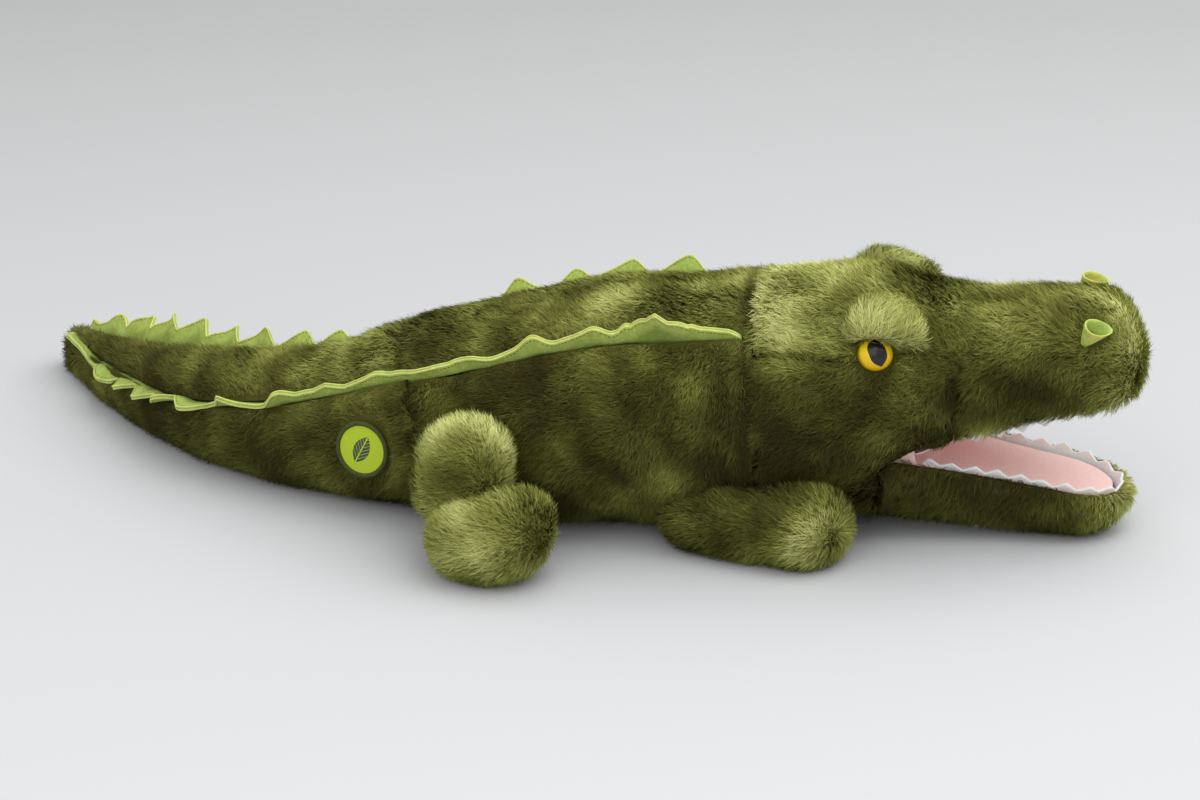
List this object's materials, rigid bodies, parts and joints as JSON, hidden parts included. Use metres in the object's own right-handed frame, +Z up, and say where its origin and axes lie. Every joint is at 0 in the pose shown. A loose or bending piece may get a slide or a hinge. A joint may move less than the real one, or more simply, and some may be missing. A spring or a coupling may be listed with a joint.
{
  "type": "plush crocodile",
  "caption": "Long-bodied stuffed crocodile lying on its belly, with felt spikes along the back, an open felt-toothed mouth, button eyes and soft legs that flex at their seams.",
  "frame": {"origin": "on the floor under the belly, between the neck and the hips", "axes": "+X towards the nose, +Y towards the animal's left, +Z up"},
  "size_m": [0.5302, 0.2461, 0.1141],
  "materials": {
    "fur_back": "long-pile plush, mottled olive",
    "fur_side": "long-pile plush, dark olive",
    "fur_light": "long-pile plush, pale olive tips",
    "fur_pale": "short cream plush",
    "lime_felt": "matte felt",
    "pink_felt": "matte felt",
    "white_felt": "matte felt",
    "fibre": "loose polyester filling",
    "eye_plastic": "polished",
    "washer_plastic": "moulded",
    "badge_cloth": "woven patch",
    "badge_thread": "satin stitch"
  },
  "bodies": {
    "torso": {"torso_top_panel": "fur_back", "torso_side_right": "fur_side", "torso_side_left": "fur_side", "belly_panel": "fur_pale", "torso_stuffing": "fibre", "torso_ridge_right": "lime_felt", "torso_ridge_left": "lime_felt"},
    "head": {"head_top_panel": "fur_back", "muzzle_panel": "fur_side", "cheek_panel": "fur_side", "head_stuffing": "fibre", "upper_teeth": "white_felt", "palate_lining": "pink_felt", "eye_right": "eye_plastic", "eye_left": "eye_plastic", "eye_washer_right": "washer_plastic", "eye_washer_left": "washer_plastic", "eyelid_right": "fur_light", "eyelid_left": "fur_light", "nostril_right": "lime_felt", "nostril_left": "lime_felt"},
    "jaw": {"jaw_panel": "fur_side", "chin_panel": "fur_pale", "jaw_stuffing": "fibre", "lower_teeth": "white_felt", "jaw_lining": "pink_felt"},
    "tail": {"tail_skin": "fur_side", "tail_stuffing": "fibre", "tail_ridge_right": "lime_felt", "tail_ridge_left": "lime_felt", "badge_disc": "badge_cloth", "badge_border": "badge_thread"},
    "front_leg_right": {"front_leg_right_fur": "fur_light", "front_leg_right_stuffing": "fibre"},
    "front_leg_left": {"front_leg_left_fur": "fur_light", "front_leg_left_stuffing": "fibre"},
    "rear_leg_right": {"rear_leg_right_fur": "fur_light", "rear_leg_right_stuffing": "fibre"},
    "rear_leg_left": {"rear_leg_left_fur": "fur_light", "rear_leg_left_stuffing": "fibre"}
  },
  "joints": [
    {"name": "neck_turn", "type": "hinge", "parent": "torso", "child": "head", "pos_m": [0.045, 0, 0.05375], "axis": [0, 0, 1], "range_deg": [-8, 8], "stiffness_Nm_per_rad": 0.4},
    {"name": "jaw_open", "type": "hinge", "parent": "head", "child": "jaw", "pos_m": [0.128, 0, 0.0405], "axis": [0, 1, 0], "range_deg": [-12, 3], "stiffness_Nm_per_rad": 0.5},
    {"name": "tail_sway", "type": "hinge", "parent": "torso", "child": "tail", "pos_m": [-0.048, 0, 0.043], "axis": [0, 0, 1], "range_deg": [-10, 10], "stiffness_Nm_per_rad": 0.3},
    {"name": "front_leg_swing_right", "type": "hinge", "parent": "torso", "child": "front_leg_right", "pos_m": [0.051, -0.043, 0.0162], "axis": [0, 0, -1], "range_deg": [0, 20], "stiffness_Nm_per_rad": 0.15},
    {"name": "front_leg_swing_left", "type": "hinge", "parent": "torso", "child": "front_leg_left", "pos_m": [0.051, 0.043, 0.0162], "axis": [0, 0, 1], "range_deg": [0, 20], "stiffness_Nm_per_rad": 0.15},
    {"name": "rear_leg_swing_right", "type": "hinge", "parent": "torso", "child": "rear_leg_right", "pos_m": [-0.05, -0.057, 0.05], "axis": [0, 1, 0], "range_deg": [-8, 8], "stiffness_Nm_per_rad": 0.3},
    {"name": "rear_leg_swing_left", "type": "hinge", "parent": "torso", "child": "rear_leg_left", "pos_m": [-0.05, 0.057, 0.05], "axis": [0, 1, 0], "range_deg": [-8, 8], "stiffness_Nm_per_rad": 0.3}
  ]
}
